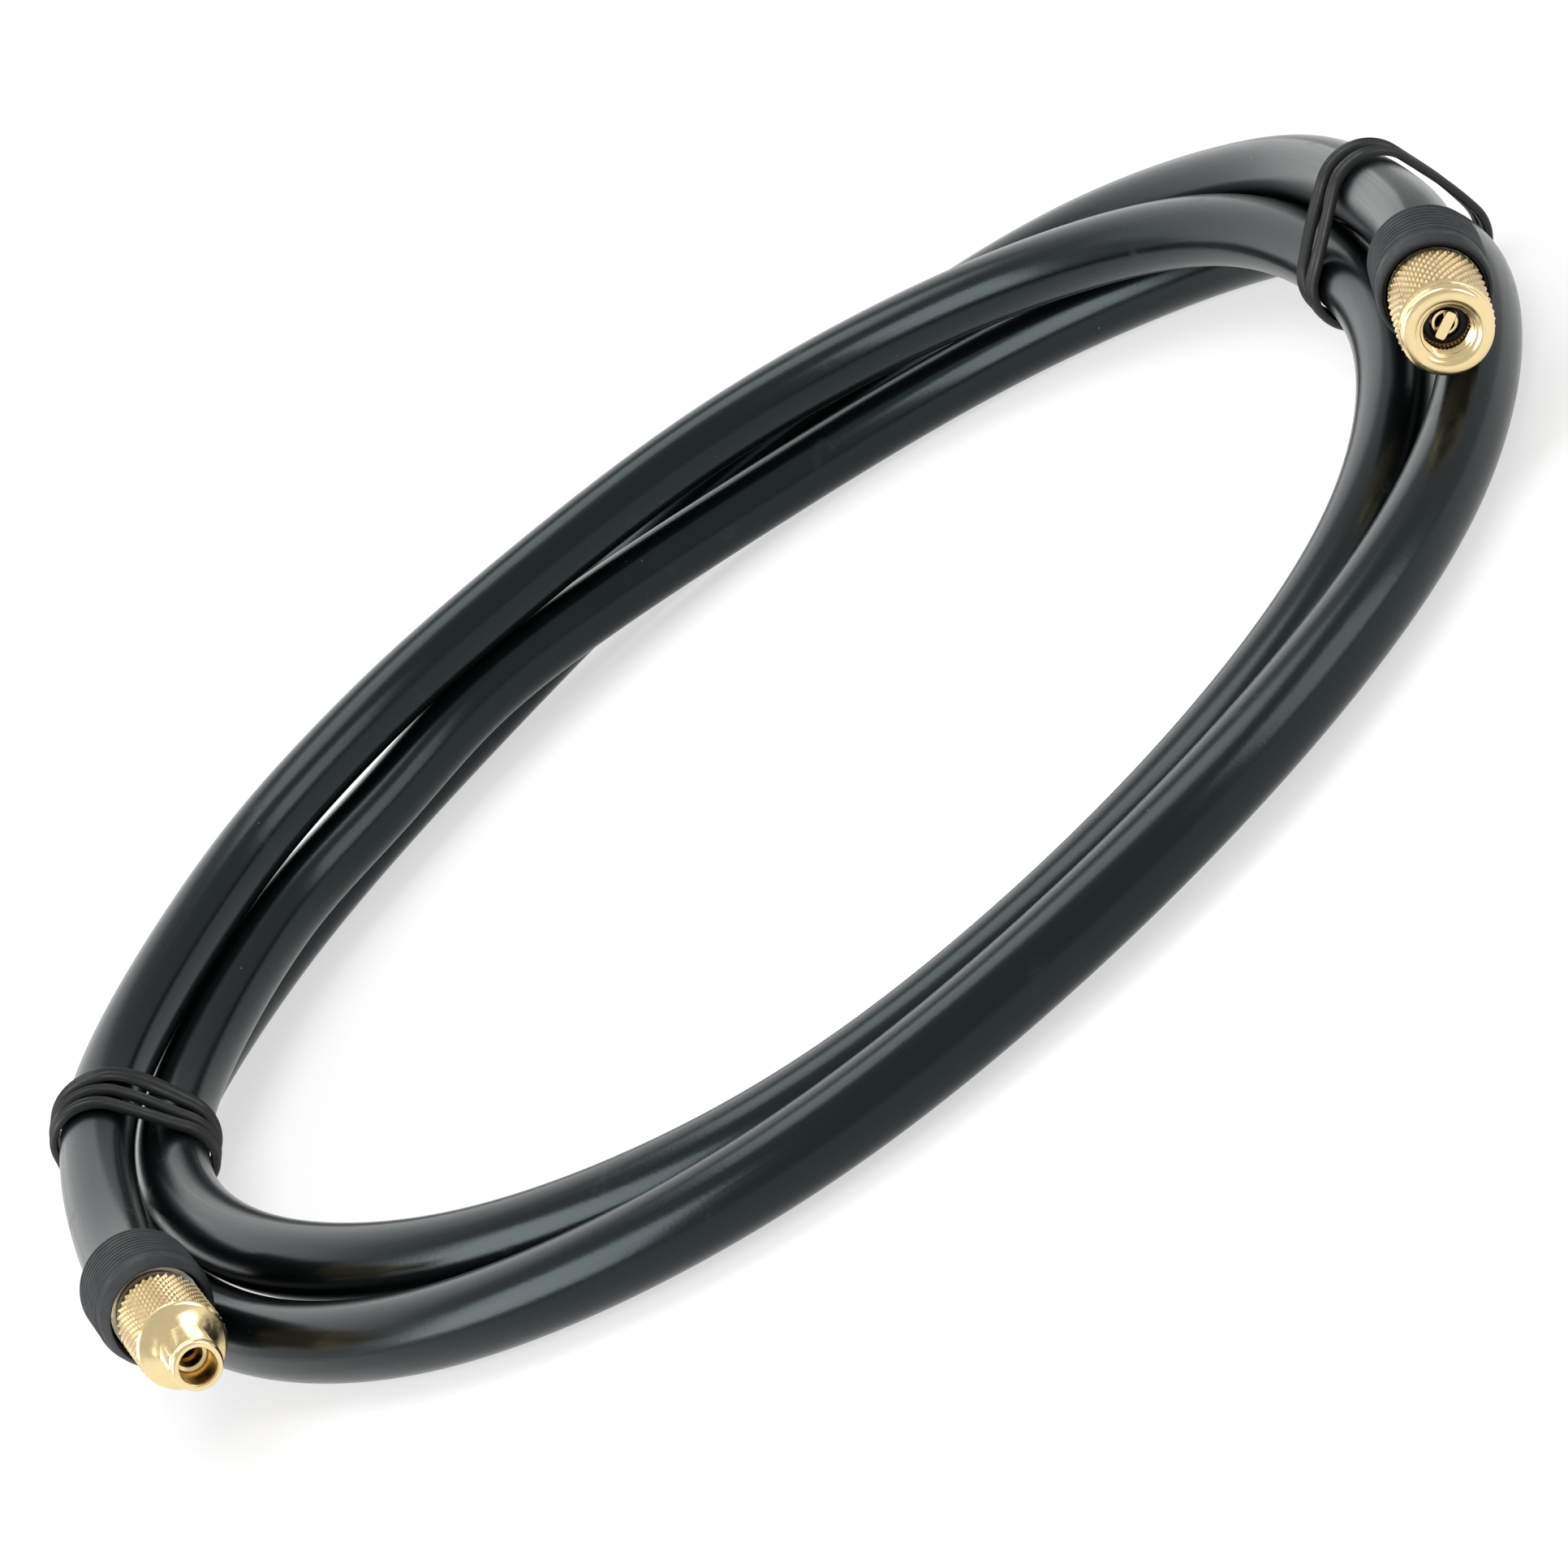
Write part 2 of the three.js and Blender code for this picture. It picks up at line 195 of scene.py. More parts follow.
class Shader:
    """A material's nodes, wired in code."""

    def __init__(self, name):
        self.material = bpy.data.materials.new(name)
        self.material.use_nodes = True
        self.tree = self.material.node_tree
        self.main = self.tree.nodes["Principled BSDF"]

    def node(self, kind, **inputs):
        made = self.tree.nodes.new(kind)
        for key, value in inputs.items():
            self.put(made.inputs[key.replace("_", " ")], value)
        return made

    def put(self, socket, value):
        if isinstance(value, bpy.types.NodeSocket):
            self.tree.links.new(value, socket)
        else:
            socket.default_value = value

    def set(self, **inputs):
        for key, value in inputs.items():
            self.put(self.main.inputs[key.replace("_", " ")], value)

    def where(self, kind):
        return self.node("ShaderNodeTexCoord").outputs[kind]

    def scaled(self, vector, scale):
        made = self.node("ShaderNodeMapping", Vector=vector)
        made.inputs["Scale"].default_value = scale
        return made.outputs["Vector"]

    def noise(self, vector, scale, detail=3.0, roughness=0.5):
        made = self.node("ShaderNodeTexNoise", Vector=vector, Scale=scale, Detail=detail)
        made.inputs["Roughness"].default_value = roughness
        return made.outputs["Fac"]

    def ramp(self, value, low, high, to_low=0.0, to_high=1.0):
        made = self.node("ShaderNodeMapRange", Value=value)
        made.interpolation_type = "SMOOTHSTEP"
        made.inputs["From Min"].default_value = low
        made.inputs["From Max"].default_value = high
        made.inputs["To Min"].default_value = to_low
        made.inputs["To Max"].default_value = to_high
        return made.outputs["Result"]

    def maths(self, operation, a, b):
        made = self.node("ShaderNodeMath")
        made.operation = operation
        self.put(made.inputs[0], a)
        self.put(made.inputs[1], b)
        return made.outputs["Value"]

    def mix(self, share, a, b):
        made = self.node("ShaderNodeMix")
        made.data_type = "RGBA"
        self.put(made.inputs["Factor"], share)
        self.put(made.inputs["A"], a)
        self.put(made.inputs["B"], b)
        return next(o for o in made.outputs if o.type == "RGBA")

    def bump(self, height, depth, strength=1.0, under=None):
        made = self.node("ShaderNodeBump", Height=height, Strength=strength, Distance=depth)
        if under is not None:
            self.put(made.inputs["Normal"], under)
        return made.outputs["Normal"]


def grey(value):
    return (value, value, value, 1.0)


# ---------------------------------------------------------------- materials

SHEEN = 0.33                    # below the usual half, since the studio is lit brightly
HOSE_DARK = (0.0012, 0.0018, 0.0021, 1)
HOSE_LIGHT = (0.0024, 0.0034, 0.0039, 1)
HOSE_TINT = (0.78, 0.96, 1.0, 1)
SCUFF = (0.022, 0.026, 0.028, 1)
DUST = (0.16, 0.17, 0.17, 1)


def hose_material():
    """Glossy black rubber: long soft waves, fine grain, a few dull scuffs and dust."""
    s = Shader("hose_rubber")
    place, along_hose = s.where("Object"), s.where("UV")
    mottle = s.noise(place, 35.0, 3.0, 0.6)
    drawn = s.noise(s.scaled(along_hose, (28.0, 2600.0, 1.0)), 1.0, 4.0, 0.6)
    scuff = s.ramp(s.noise(place, 95.0, 5.0, 0.65), 0.6, 0.74)
    speck = s.node("ShaderNodeTexVoronoi", Vector=place, Scale=330.0)
    dust = s.ramp(speck.outputs["Distance"], 0.05, 0.1, 1.0, 0.0)
    dust = s.maths("MULTIPLY", dust, s.ramp(s.noise(place, 60.0, 2.0), 0.56, 0.68))
    colour = s.mix(mottle, HOSE_DARK, HOSE_LIGHT)
    colour = s.mix(s.maths("MULTIPLY", scuff, 0.35), colour, SCUFF)
    colour = s.mix(s.maths("MULTIPLY", dust, 0.4), colour, DUST)
    rough = s.ramp(drawn, 0.3, 0.7, 0.19, 0.26)
    rough = s.maths("ADD", rough, s.maths("MULTIPLY", scuff, 0.1))
    s.set(Base_Color=colour, Roughness=rough, Specular_Tint=HOSE_TINT, Specular_IOR_Level=SHEEN)
    waves = s.bump(s.noise(s.scaled(along_hose, (14.0, 60.0, 1.0)), 1.0, 2.0), 0.0006, 0.35)
    s.set(Normal=s.bump(s.noise(place, 1500.0, 3.0, 0.6), 0.00003, 0.5, waves))
    return s.material


def rubber_material(name, dark, light, rough, grain):
    """Matt moulded rubber with a fine grain and a little wear."""
    s = Shader(name)
    place = s.where("Object")
    colour = s.mix(s.noise(place, 220.0, 5.0, 0.65), dark, light)
    s.set(Base_Color=colour, Specular_IOR_Level=SHEEN)
    s.set(Roughness=s.ramp(s.noise(place, 400.0, 3.0), 0.3, 0.7, rough - 0.07, rough + 0.07))
    s.set(Normal=s.bump(s.noise(place, 3500.0, 4.0, 0.7), 0.00004, grain))
    return s.material


def metal_material(name, dark, light, hollow_shade, low_rough, high_rough):
    """Turned metal: slight tarnish, fine tool marks, and duller knurls and threads whose hollows get
    painted shade, a darker colour the deeper they are.
    """
    s = Shader(name)
    place = s.where("Object")
    # Painted shade: the hollows of knurls and threads take a darker colour, the deeper the darker.
    groove_shade = s.node("ShaderNodeAttribute")
    groove_shade.attribute_name = "groove_shade"
    depth = s.ramp(groove_shade.outputs["Fac"], 0.25, 0.95)
    tarnish = s.noise(place, 260.0, 4.0, 0.6)
    s.set(Base_Color=s.mix(depth, s.mix(tarnish, dark, light), hollow_shade), Metallic=1.0)
    rough = s.ramp(s.noise(place, 900.0, 3.0), 0.3, 0.7, low_rough, high_rough)
    s.set(Roughness=s.maths("ADD", rough, s.maths("MULTIPLY", depth, 0.2)))
    s.set(Normal=s.bump(s.noise(place, 2600.0, 4.0, 0.7), 0.00002, 0.35))
    return s.material


HOSE = hose_material()
COLLAR = rubber_material(
    "collar_rubber", (0.0075, 0.009, 0.01, 1), (0.0135, 0.0155, 0.017, 1), rough=0.62, grain=0.5,
)
TIE = rubber_material(
    "tie_rubber", (0.0038, 0.0043, 0.0047, 1), (0.0075, 0.0083, 0.0088, 1), rough=0.42, grain=0.3,
)
SEAL = rubber_material(
    "seal_rubber", (0.004, 0.0044, 0.0048, 1), (0.0085, 0.009, 0.0095, 1), rough=0.6, grain=0.5,
)
# The hollow colours below are painted shade for the hollows of knurls and threads.
BRASS = metal_material(
    "brass", (0.78, 0.605, 0.31, 1), (0.86, 0.705, 0.4, 1), hollow_shade=(0.52, 0.36, 0.18, 1),
    low_rough=0.16, high_rough=0.26,
)
FERRULE = metal_material(
    "ferrule_metal", (0.36, 0.37, 0.38, 1), (0.46, 0.47, 0.48, 1), hollow_shade=(0.2, 0.2, 0.2, 1),
    low_rough=0.3, high_rough=0.42,
)

# ---------------------------------------------------------------- hose

HOSE_R = 6.0
RING_STEP = 2.0                 # along the hose, between rings of the mesh
HOSE_SIDES = 64
SMOOTHING = 7.0                 # along the hose, evens out the bends between stations
SPLINE_SAMPLES = 60             # between one station and the next

# [angle in degrees, radius, height of the centreline] round COIL_CENTRE, from the male end.
ROUTE = [
    (180, 127.8, 24.6), (150, 122, 25.3), (135, 119.3, 25.2), (120, 116.7, 24.5),
    (90, 116.1, 22.5), (60, 115.8, 19.2), (30, 116, 16.3), (0, 115.5, 9.8),
    (-30, 115.3, 6.3), (-60, 115.4, 6.1), (-90, 116.2, 6.1), (-120, 113.4, 7.6),
    (-150, 116.5, 11.9), (-180, 122.5, 13.2), (-210, 121.5, 13.1), (-225, 118.9, 12),
    (-240, 118.2, 12.7), (-270, 116.8, 7.4), (-300, 119.5, 6.1), (-330, 127, 6.2),
    (-360, 129.9, 7.6), (-390, 129, 6.8), (-420, 128.8, 8.1), (-450, 129.3, 7.1),
    (-480, 127.3, 6.1), (-510, 127.7, 7.1), (-540, 133.4, 7.8), (-570, 131.5, 6.2),
    (-600, 128.8, 6.5), (-630, 130.6, 11), (-660, 131.2, 15.4), (-690, 128.4, 18.2),
]


def station(degrees, radius, height):
    angle = math.radians(degrees)
    x, y = COIL_CENTRE + radius * np.array([math.cos(angle), math.sin(angle)])
    return np.array([x, y, height])


def spline(knots, samples):
    """Centripetal Catmull-Rom curve through the knots."""
    knots = np.asarray(knots)
    ends = 2 * knots[[0, -1]] - knots[[1, -2]]
    padded = np.vstack([ends[:1], knots, ends[1:]])
    share = np.linspace(0, 1, samples, endpoint=False)[:, None]
    out = []
    for p0, p1, p2, p3 in zip(padded, padded[1:], padded[2:], padded[3:]):
        d0, d1, d2 = (
            math.sqrt(np.linalg.norm(b - a)) for a, b in ((p0, p1), (p1, p2), (p2, p3))
        )
        t1 = ((p1 - p0) / d0 - (p2 - p0) / (d0 + d1) + (p2 - p1) / d1) * d1
        t2 = ((p2 - p1) / d1 - (p3 - p1) / (d1 + d2) + (p3 - p2) / d2) * d1
        square, cube = -3 * p1 + 3 * p2 - 2 * t1 - t2, 2 * p1 - 2 * p2 + t1 + t2
        out.append(p1 + t1 * share + square * share ** 2 + cube * share ** 3)
    return np.vstack(out + [knots[-1:]])


def evenly(points, step):
    """The same line with points at even distances."""
    lengths = np.linalg.norm(np.diff(points, axis=0), axis=1)
    travelled = np.concatenate([[0], np.cumsum(lengths)])
    wanted = np.linspace(0, travelled[-1], int(round(travelled[-1] / step)) + 1)
    return np.stack([np.interp(wanted, travelled, points[:, k]) for k in range(3)], 1)


def smoothed(points, sigma):
    """The line with its bends evened out; sigma is in points, and the ends stay."""
    reach = int(3 * sigma)
    weights = np.exp(-0.5 * (np.arange(-reach, reach + 1) / sigma) ** 2)
    weights /= weights.sum()
    before = 2 * points[0] - points[reach:0:-1]
    after = 2 * points[-1] - points[-2:-reach - 2:-1]
    padded = np.vstack([before, points, after])
    return np.stack([np.convolve(padded[:, k], weights, "valid") for k in range(3)], 1)


def carried_frames(line):
    """Two directions across a line at each of its points, carried without twist."""
    tangent = np.gradient(line, axis=0)
    tangent /= np.linalg.norm(tangent, axis=1)[:, None]
    first = np.cross(tangent[0], (0.0, 0.0, 1.0))
    firsts = [first / np.linalg.norm(first)]
    for t in tangent[1:]:
        moved = firsts[-1] - t * (firsts[-1] @ t)
        firsts.append(moved / np.linalg.norm(moved))
    firsts = np.array(firsts)
    return firsts, np.cross(tangent, firsts)


def hose_line():
    knots = [along(MALE_END, d) for d in (HOSE_INSIDE, 0, -HOSE_STRAIGHT)]
    knots += [station(*s) for s in ROUTE]
    knots += [along(FEMALE_END, d) for d in (-HOSE_STRAIGHT, 0, HOSE_INSIDE)]
    return smoothed(evenly(spline(knots, SPLINE_SAMPLES), RING_STEP), SMOOTHING / RING_STEP)


LINE = hose_line()


def grid_uv(rows, columns, length, width):
    """UVs in metres for a tube's quads, then zeros for its two caps."""
    faces = face_grid(rows, columns, False, True)
    row, column = faces[:, 0] // columns, faces[:, 0] % columns
    u = np.stack([row, row, row + 1, row + 1], 1) * (length / (rows - 1))
    v = np.stack([column, column + 1, column + 1, column], 1) * (width / columns)
    body = np.stack([u, v], -1).reshape(-1, 2)
    return np.vstack([body, np.zeros((2 * columns, 2))])


def make_hose():
    across, over = carried_frames(LINE)
    angle = -np.arange(HOSE_SIDES) * TURN / HOSE_SIDES
    ring = across[:, None] * np.cos(angle)[None, :, None]
    ring = ring + over[:, None] * np.sin(angle)[None, :, None]
    points = (LINE[:, None] + HOSE_R * ring).reshape(-1, 3)
    faces = face_grid(len(LINE), HOSE_SIDES, False, True)
    length = np.linalg.norm(np.diff(LINE, axis=0), axis=1).sum()
    uv = grid_uv(len(LINE), HOSE_SIDES, length * MM, TURN * HOSE_R * MM)
    hose = build("air_hose", points, with_caps(faces, len(LINE), HOSE_SIDES), "root",
                 HOSE, 60.0, uv)
    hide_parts("hose")


make_hose()

# ---------------------------------------------------------------- collars

# The smooth nose starts at nose and narrows to front at the mouth.
MALE_COLLAR = {"outer": 8.9, "nose": 12.4, "front": 7.9, "mouth": 7.4, "length": 17.5}
FEMALE_COLLAR = {"outer": 8.55, "nose": 10.2, "front": 8.35, "mouth": 7.6, "length": 15.3}
FERRULE_R = 6.9
FERRULE_END = 14.4
GAP = 0.3
COLLAR_SIDES = 128
COLLAR_LIP = 2.4                # rear lip that grips the hose
LIP_GAP = 0.15
EDGE = 0.45                     # chamfer at the rear
GROOVE_START = 1.3
GROOVE_PITCH = 1.25
GROOVE_DEPTH = 0.28
GROOVE_TOP = 0.3                # half its width at the surface
GROOVE_FLOOR = 0.08             # half its width at the floor


def collar(end, name, node, outer, nose, front, mouth, length):
    profile = [(HOSE_R + LIP_GAP, 0.0), (outer - EDGE, 0.0), (outer, EDGE)]
    for z in np.arange(GROOVE_START, nose - 0.5, GROOVE_PITCH):
        profile += [(outer, z - GROOVE_TOP), (outer - GROOVE_DEPTH, z - GROOVE_FLOOR),
                    (outer - GROOVE_DEPTH, z + GROOVE_FLOOR), (outer, z + GROOVE_TOP)]
    inner = FERRULE_R + GAP
    profile += [
        (outer + 0.04, nose - 0.3), (outer - 0.2, nose + 0.2),
        ((outer + front) / 2 + 0.1, (nose + length) / 2),
        (front, length - 0.6), (front - 0.25, length - 0.1),
        (mouth + 0.15, length), (mouth, length - 0.15), (mouth, FERRULE_END + GAP),
        (inner, FERRULE_END + GAP), (inner, COLLAR_LIP), (HOSE_R + LIP_GAP, COLLAR_LIP),
    ]
    piece = turned(end, name, rounded(profile, 0.14, 2), "root", COLLAR,
                   COLLAR_SIDES, 50)
    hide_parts(node)


collar(MALE_END, "male_sleeve", "male_collar", **MALE_COLLAR)
collar(FEMALE_END, "female_sleeve", "female_collar", **FEMALE_COLLAR)

# ---------------------------------------------------------------- knurls and threads

THREAD_R = 3.875
THREAD_ROOT_R = 3.45
THREAD_PITCH = 0.79
KNURL_SAMPLES = 8               # mesh points across one diamond, each way
KNURL_DEPTH = 0.42
THREAD_SAMPLES = 10             # mesh points along one turn of thread
RING_SIDES = 64


def zigzag(x):
    """0 at whole numbers and 1 half way between them."""
    return 1 - np.abs(2 * (x - np.floor(x)) - 1)


def knurled(start, end, pitch, count, depth):
    """Cuts a diamond knurl between two heights."""
    def shape(radius, height, angle):
        turn = count * angle / TURN
        rise = (height - start) / pitch
        pyramid = np.minimum(zigzag(turn + rise), zigzag(turn - rise))
        inside = (height > start - 1e-6) & (height < end + 1e-6)
        hollow_shade = np.where(inside, 1 - pyramid, 0.0)
        return radius - depth * hollow_shade, hollow_shade
    return shape


def threaded(start, end, root, crest):
    """Raises a right-handed V thread between two heights, on the points that lie on its root."""
    def shape(radius, height, angle):
        form = np.clip(1.35 * zigzag(height / THREAD_PITCH - angle / TURN) - 0.17, 0, 1)
        fade = np.clip((height - start) / 0.4, 0, 1) * np.clip((end - height) / 0.4, 0, 1)
        on_root = (np.abs(radius - root) < 1e-6) & (height > start - 1e-6) & (height < end + 1e-6)
        raised = root + (crest - root) * form * fade
        return np.where(on_root, raised, radius), np.where(on_root, 1 - form, 0.0)
    return shape


def both(first, second):
    """One shape after another. Where both have a hollow, the deeper one counts."""
    def shape(radius, height, angle):
        radius, hollow_shade = first(radius, height, angle)
        radius, more = second(radius, height, angle)
        return radius, np.maximum(hollow_shade, more)
    return shape


# ---------------------------------------------------------------- male fitting


def male_fitting():
    knurl_r, knurl_start, knurl_end, pitch, count = 6.85, 18.3, 32.2, 2.0, 36
    sides = count * KNURL_SAMPLES
    tail = [
        (2.0, 1.0), (2.6, 3.5), (2.3, 3.8), (2.6, 6.7), (2.3, 7.0), (2.6, 9.9), (2.3, 10.2), (2.6, 12.6),
    ]
    waist = [
        (2.6, 14.9), (6.0, 14.9), (6.1, 15.0), (6.1, knurl_start - 0.3), (knurl_r - 0.45, knurl_start),
    ]
    body = [(knurl_r, z) for z in dense(knurl_start + 0.35, knurl_end, pitch / KNURL_SAMPLES)]
    thread_start, thread_end = 34.7, 41.2
    thread = [(THREAD_ROOT_R, z) for z in dense(thread_start, thread_end, THREAD_PITCH / THREAD_SAMPLES)]
    front = [
        (knurl_r - 0.2, knurl_end + 0.15), (knurl_r - 0.4, knurl_end + 0.45),
        (knurl_r - 0.75, knurl_end + 0.65), (knurl_r - 1.5, knurl_end + 0.85),
        (4.4, 33.75), (3.9, 34.15), (3.5, 34.4),
    ]
    tip = [
        (THREAD_ROOT_R, 41.35), (3.62, 41.5), (3.78, 41.75), (3.8, 42.0), (3.8, 42.6), (3.72, 42.9),
        (3.55, 43.1), (3.3, 43.2), (3.0, 43.17), (2.8, 43.05), (2.72, 42.8), (2.7, 42.4), (2.66, 37.3),
        (2.5, 37.1), (2.0, 36.95), (1.9, 36.8), (1.9, 34.2), (1.5, 33.8), (1.5, 1.0),
    ]
    profile = tail + waist + body + front + thread + tip
    shape = both(
        knurled(knurl_start + 0.35, knurl_end, pitch, count, KNURL_DEPTH),
        threaded(thread_start, thread_end, THREAD_ROOT_R, THREAD_R),
    )
    piece = turned(MALE_END, "male_valve_end", profile, "root", BRASS, sides, 28, shape)
    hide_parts("male_fitting")


male_fitting()

# ---------------------------------------------------------------- female fitting


def swivel_nut():
    nut_r, nut_start, knurl_end, pitch, count = 7.1, 14.9, 27.9, 2.28, 39
    sides = count * KNURL_SAMPLES
    thread_start, thread_end = 26.4, 30.4
    body = [(nut_r, z) for z in dense(nut_start + 0.4, knurl_end, pitch / KNURL_SAMPLES)]
    thread = [(THREAD_R, z) for z in dense(thread_end, thread_start, THREAD_PITCH / THREAD_SAMPLES)]
    profile = [
        (2.95, nut_start), (nut_r - 0.4, nut_start), *body,
        (nut_r - 0.2, 28.0), (6.62, 28.1), (6.5, 28.25), (6.5, 28.35), (6.62, 28.5), (6.68, 28.7),
        (6.66, 30.2), (6.55, 30.6), (6.35, 30.85), (6.05, 31.0), (5.2, 31.0), (4.85, 30.95),
        (4.62, 30.8), (4.4, 30.6), (4.0, 30.5), *thread,
        (3.45, 26.2), (3.45, 22.5), (2.95, 22.5),
    ]
    shape = both(
        knurled(nut_start + 0.4, knurl_end, pitch, count, KNURL_DEPTH),
        threaded(thread_start, thread_end, THREAD_R, THREAD_ROOT_R),
    )
    piece = turned(FEMALE_END, "swivel_nut", profile, "swivel_nut", BRASS, sides, 28, shape)
    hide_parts("female_nut")


def washer():
    profile = rounded([(2.2, 24.6), (3.15, 24.6), (3.15, 27.0), (2.2, 27.0)], 0.2, 3)
    piece = turned(FEMALE_END, "valve_washer", profile, "root", SEAL, RING_SIDES, 40)
    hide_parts("seal_washer")


BLADE_ANGLE = 31.0
BLADE_SIDES = 28
BLADE_SQUARENESS = 0.35         # 1 is an ellipse, and less is closer to a rectangle


def depressor():
    """A ring whose blade presses the valve's pin."""
    ring = rounded([(1.4, 25.2), (1.9, 25.2), (1.9, 26.8), (1.4, 26.8)], 0.08, 2)
    piece = turned(FEMALE_END, "pin_depressor", ring, "root", BRASS, RING_SIDES, 40)
    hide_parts("valve_depressor")
    turn = math.radians(BLADE_ANGLE)
    across = np.array([[math.cos(turn), math.sin(turn)], [-math.sin(turn), math.cos(turn)]])
    sections = [(1.75, 0.8, 26.5), (1.8, 0.85, 27.2), (2.1, 0.85, 27.3), (2.2, 0.85, 27.4),
                (2.2, 0.85, 28.0), (2.12, 0.77, 28.1)]
    loops = []
    corner = np.linspace(0, TURN, BLADE_SIDES, endpoint=False) + TURN / (2 * BLADE_SIDES)
    for half_long, half_wide, z in sections:
        x = np.sign(np.cos(corner)) * np.abs(np.cos(corner)) ** BLADE_SQUARENESS * half_long
        y = np.sign(np.sin(corner)) * np.abs(np.sin(corner)) ** BLADE_SQUARENESS * half_wide
        flat = np.stack([x, y], 1) @ across
        loops.append(np.column_stack([flat, np.full(len(flat), z)]))
    points = in_model(FEMALE_END, np.vstack(loops))
    faces = with_caps(face_grid(len(loops), BLADE_SIDES, False, True), len(loops), BLADE_SIDES)
    build("pin_blade", points, faces, "root", BRASS, 35)


swivel_nut()
washer()
depressor()

for node, material in (("male_ferrule", FERRULE), ("female_ferrule", FERRULE), ("female_stem", BRASS)):
    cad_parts[node].data.materials.clear()
    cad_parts[node].data.materials.append(material)

# ---------------------------------------------------------------- ties


def strands_at(degrees):
    """Where the hose passes an angle of the coil, as [radius, height]."""
    flat = LINE[:, :2] - COIL_CENTRE
    turn = np.arctan2(flat[:, 1], flat[:, 0]) - math.radians(degrees)
    turn = np.arctan2(np.sin(turn), np.cos(turn))
    hits = np.nonzero((turn[:-1] * turn[1:] <= 0) & (np.abs(turn[:-1]) < 1))[0]
    return [(float(np.hypot(*flat[i])), float(LINE[i, 2])) for i in hits]


def outline(strands, clearance, count):
    """The taut line round the strands, as points at even distances, from its top, outwards."""
    angle = np.linspace(0, TURN, 721)[:-1]
    direction = np.stack([np.cos(angle), np.sin(angle)], 1)
    reach = np.array(strands) @ direction.T
    touched = np.array(strands)[reach.argmax(0)] + (HOSE_R + clearance) * direction
    start = int(np.argmin(np.abs(angle - math.pi / 2)))
    loop = np.roll(touched, -start, axis=0)[::-1]
    loop = np.vstack([loop, loop[:1]])
    lengths = np.linalg.norm(np.diff(loop, axis=0), axis=1)
    travelled = np.concatenate([[0], np.cumsum(lengths)])
    wanted = np.linspace(0, travelled[-1], count, endpoint=False)
    return np.stack([np.interp(wanted, travelled, loop[:, k]) for k in range(2)], 1)


def band_section():
    """Half width and thickness of a band with two rounded ridges."""
    across = np.array([-1.0, -0.93, -0.75, -0.5, -0.25, -0.07, 0.07, 0.25, 0.5, 0.75, 0.93, 1.0])
    high = np.array([0.35, 0.62, 0.88, 1.0, 0.86, 0.6, 0.6, 0.86, 1.0, 0.88, 0.62, 0.35])
    top = np.stack([across, high], 1)
    bottom = np.stack([across[::-1], 0.12 - 0.1 * (np.abs(across[::-1]) < 0.9)], 1)
    return np.vstack([top, bottom])


TURN_POINTS = 160               # along each turn of a band
TIE_THICKNESS = 1.4
TIE_SMOOTHING = 6.0             # in points, evens out the changes between knots
SHIFTS = np.arange(-10.0, 10.5, 1.0)    # where the outline is found again, along the hose


def outlines(degrees, clearance):
    """The taut line round the bundle at each of the shifts."""
    centre_r = np.mean([radius for radius, _ in strands_at(degrees)])
    return np.array([
        outline(strands_at(degrees + math.degrees(shift / centre_r)), clearance, TURN_POINTS)
        for shift in SHIFTS
    ])


def on_outlines(loops, share, shift):
    """Points on the outlines at each share of a turn and each shift."""
    place, layer = np.mod(share, 1.0) * TURN_POINTS, shift - SHIFTS[0]
    i, k = place.astype(int), layer.astype(int)
    u, v = (place - i)[:, None], (layer - k)[:, None]
    i2 = (i + 1) % TURN_POINTS
    near = loops[k, i % TURN_POINTS] * (1 - u) + loops[k, i2] * u
    far = loops[k + 1, i % TURN_POINTS] * (1 - u) + loops[k + 1, i2] * u
    return near * (1 - v) + far * v


def tie(name, node, degrees, knots):
    """A ridged band wound round the bundle. Each knot is
    [share of a turn from the top, shift along the hose, lift off the bundle, width]."""
    knots = np.array(knots, float)
    count = int((knots[-1, 0] - knots[0, 0]) * TURN_POINTS)
    share = np.linspace(knots[0, 0], knots[-1, 0], count)
    columns = np.column_stack([np.interp(share, knots[:, 0], knots[:, k]) for k in (1, 2, 3)])
    shift, lift, width = smoothed(columns, TIE_SMOOTHING).T
    base = on_outlines(outlines(degrees, GAP), share, shift)
    away = on_outlines(outlines(degrees, GAP + 1.0), share, shift) - base
    away /= np.linalg.norm(away, axis=1)[:, None]
    flat = base + away * lift[:, None]
    turn = math.radians(degrees) + shift / flat[:, 0].mean()
    outwards = np.stack([np.cos(turn), np.sin(turn), np.zeros(count)], 1)
    line = np.array([*COIL_CENTRE, 0.0]) + flat[:, :1] * outwards
    line[:, 2] += flat[:, 1]
    out = away[:, :1] * outwards
    out[:, 2] += away[:, 1]
    tangent = np.gradient(line, axis=0)
    tangent /= np.linalg.norm(tangent, axis=1)[:, None]
    out -= tangent * np.sum(out * tangent, axis=1)[:, None]
    out /= np.linalg.norm(out, axis=1)[:, None]
    side = np.cross(tangent, out)
    section = band_section()
    points = (
        line[:, None]
        + side[:, None] * (section[:, 0] * width[:, None] / 2)[:, :, None]
        + out[:, None] * (section[:, 1] * TIE_THICKNESS)[None, :, None]
    ).reshape(-1, 3)
    faces = with_caps(face_grid(len(line), len(section), False, True), len(line), len(section))
    piece = build(name, points, faces, "root", TIE, 40)
    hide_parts(node)


